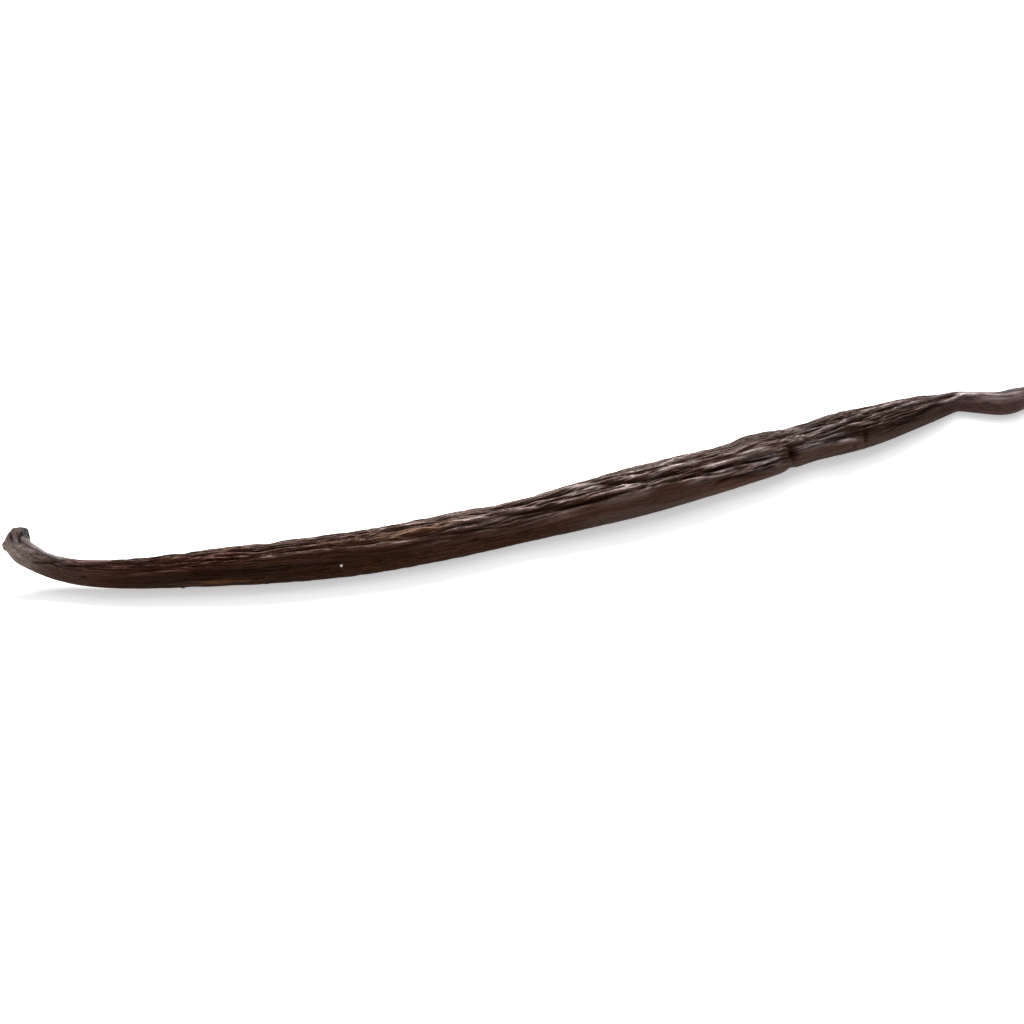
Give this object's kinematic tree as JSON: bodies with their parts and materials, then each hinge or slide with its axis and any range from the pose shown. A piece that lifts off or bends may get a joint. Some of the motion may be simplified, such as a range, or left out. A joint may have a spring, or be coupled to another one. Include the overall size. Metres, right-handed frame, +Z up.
{
  "type": "vanilla pod",
  "caption": "Cured vanilla pod: a long, dark, wrinkled, slightly flattened fruit with a curled, cut stem end and a thin, crooked blossom end.",
  "frame": {"origin": "centre of the bounding box in plan, on the table plane that the pod rests on", "axes": "+X along the pod from the curled stem end to the blossom end, -Y the side that the pod bows towards, +Z up from the table"},
  "size_m": [0.1735, 0.0273, 0.0074],
  "materials": {
    "skin": "dark brown, oily, satin, wrinkled"
  },
  "bodies": {
    "root": {"pod": "skin"}
  },
  "joints": []
}
